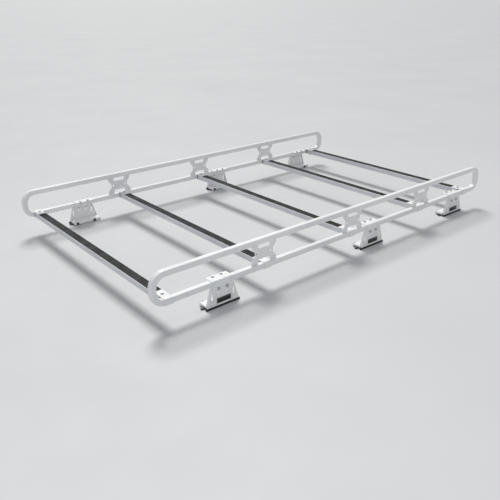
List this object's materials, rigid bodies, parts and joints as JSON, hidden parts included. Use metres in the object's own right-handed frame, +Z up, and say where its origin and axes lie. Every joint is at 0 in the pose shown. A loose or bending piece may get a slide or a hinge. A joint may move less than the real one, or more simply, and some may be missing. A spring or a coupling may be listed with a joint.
{
  "type": "ladder rack",
  "caption": "Ladder rack for a van: two looped side rails with waisted brace plates, clamped crossbars topped with rubber, and clamp-on gutter legs.",
  "frame": {"origin": "centre of the rack's footprint at the underside of the feet", "axes": "+X towards the front of the van along the rails, +Y to the left side, +Z up"},
  "size_m": [2.75, 1.6206, 0.294],
  "materials": {
    "white_paint": "semi-gloss powder coat",
    "bar_extrusion": "satin coated extrusion",
    "black_rubber": "matt ribbed rubber",
    "black_plastic": "matt moulded",
    "black_paint": "satin black coat",
    "zinc_steel": "zinc plated"
  },
  "bodies": {
    "rails": {"upper_hoop_left": "white_paint", "upper_hoop_right": "white_paint", "lower_rail_left": "white_paint", "lower_rail_right": "white_paint", "brace_plates": "white_paint"},
    "crossbar_1_set": {"crossbar_1": "bar_extrusion", "rubber_strip_1": "black_rubber", "end_caps_1": "black_plastic", "crossbar_clamps_1": "white_paint", "clamp_bolts_1": "zinc_steel"},
    "crossbar_2_set": {"crossbar_2": "bar_extrusion", "rubber_strip_2": "black_rubber", "end_caps_2": "black_plastic", "crossbar_clamps_2": "white_paint", "clamp_bolts_2": "zinc_steel"},
    "crossbar_3_set": {"crossbar_3": "bar_extrusion", "rubber_strip_3": "black_rubber", "end_caps_3": "black_plastic", "crossbar_clamps_3": "white_paint", "clamp_bolts_3": "zinc_steel"},
    "crossbar_4_set": {"crossbar_4": "bar_extrusion", "rubber_strip_4": "black_rubber", "end_caps_4": "black_plastic", "crossbar_clamps_4": "white_paint", "clamp_bolts_4": "zinc_steel"},
    "crossbar_5_set": {"crossbar_5": "bar_extrusion", "rubber_strip_5": "black_rubber", "end_caps_5": "black_plastic", "crossbar_clamps_5": "white_paint", "clamp_bolts_5": "zinc_steel"},
    "leg_rear_left_set": {"leg_rear_left": "white_paint", "rail_clamp_rear_left": "white_paint", "gutter_trim_rear_left": "black_rubber", "leg_bolts_rear_left": "zinc_steel"},
    "jaw_rear_left": {"gutter_jaw_rear_left": "black_paint"},
    "leg_rear_right_set": {"leg_rear_right": "white_paint", "rail_clamp_rear_right": "white_paint", "gutter_trim_rear_right": "black_rubber", "leg_bolts_rear_right": "zinc_steel"},
    "jaw_rear_right": {"gutter_jaw_rear_right": "black_paint"},
    "leg_middle_left_set": {"leg_middle_left": "white_paint", "rail_clamp_middle_left": "white_paint", "gutter_trim_middle_left": "black_rubber", "leg_bolts_middle_left": "zinc_steel"},
    "jaw_middle_left": {"gutter_jaw_middle_left": "black_paint"},
    "leg_middle_right_set": {"leg_middle_right": "white_paint", "rail_clamp_middle_right": "white_paint", "gutter_trim_middle_right": "black_rubber", "leg_bolts_middle_right": "zinc_steel"},
    "jaw_middle_right": {"gutter_jaw_middle_right": "black_paint"},
    "leg_front_left_set": {"leg_front_left": "white_paint", "rail_clamp_front_left": "white_paint", "gutter_trim_front_left": "black_rubber", "leg_bolts_front_left": "zinc_steel"},
    "jaw_front_left": {"gutter_jaw_front_left": "black_paint"},
    "leg_front_right_set": {"leg_front_right": "white_paint", "rail_clamp_front_right": "white_paint", "gutter_trim_front_right": "black_rubber", "leg_bolts_front_right": "zinc_steel"},
    "jaw_front_right": {"gutter_jaw_front_right": "black_paint"}
  },
  "joints": [
    {"name": "crossbar_1_slide", "type": "slide", "parent": "rails", "child": "crossbar_1_set", "axis": [1, 0, 0], "range_m": [0, 0.09]},
    {"name": "crossbar_2_slide", "type": "slide", "parent": "rails", "child": "crossbar_2_set", "axis": [1, 0, 0], "range_m": [-0.03, 0.006]},
    {"name": "crossbar_3_slide", "type": "slide", "parent": "rails", "child": "crossbar_3_set", "axis": [1, 0, 0], "range_m": [-0.0085, 0.03]},
    {"name": "crossbar_4_slide", "type": "slide", "parent": "rails", "child": "crossbar_4_set", "axis": [1, 0, 0], "range_m": [-0.0055, 0.03]},
    {"name": "crossbar_5_slide", "type": "slide", "parent": "rails", "child": "crossbar_5_set", "axis": [1, 0, 0], "range_m": [-0.015, 0.06]},
    {"name": "leg_rear_left_slide", "type": "slide", "parent": "rails", "child": "leg_rear_left_set", "axis": [1, 0, 0], "range_m": [-0.08, 0.11]},
    {"name": "jaw_rear_left_slide", "type": "slide", "parent": "leg_rear_left_set", "child": "jaw_rear_left", "axis": [0, 1, 0], "range_m": [0, 0.008]},
    {"name": "leg_rear_right_slide", "type": "slide", "parent": "rails", "child": "leg_rear_right_set", "axis": [1, 0, 0], "range_m": [-0.08, 0.11]},
    {"name": "jaw_rear_right_slide", "type": "slide", "parent": "leg_rear_right_set", "child": "jaw_rear_right", "axis": [0, -1, 0], "range_m": [0, 0.008]},
    {"name": "leg_middle_left_slide", "type": "slide", "parent": "rails", "child": "leg_middle_left_set", "axis": [1, 0, 0], "range_m": [-0.008, 0.2]},
    {"name": "jaw_middle_left_slide", "type": "slide", "parent": "leg_middle_left_set", "child": "jaw_middle_left", "axis": [0, 1, 0], "range_m": [0, 0.008]},
    {"name": "leg_middle_right_slide", "type": "slide", "parent": "rails", "child": "leg_middle_right_set", "axis": [1, 0, 0], "range_m": [-0.008, 0.2]},
    {"name": "jaw_middle_right_slide", "type": "slide", "parent": "leg_middle_right_set", "child": "jaw_middle_right", "axis": [0, -1, 0], "range_m": [0, 0.008]},
    {"name": "leg_front_left_slide", "type": "slide", "parent": "rails", "child": "leg_front_left_set", "axis": [1, 0, 0], "range_m": [-0.18, 0.015]},
    {"name": "jaw_front_left_slide", "type": "slide", "parent": "leg_front_left_set", "child": "jaw_front_left", "axis": [0, 1, 0], "range_m": [0, 0.008]},
    {"name": "leg_front_right_slide", "type": "slide", "parent": "rails", "child": "leg_front_right_set", "axis": [1, 0, 0], "range_m": [-0.18, 0.015]},
    {"name": "jaw_front_right_slide", "type": "slide", "parent": "leg_front_right_set", "child": "jaw_front_right", "axis": [0, -1, 0], "range_m": [0, 0.008]}
  ]
}
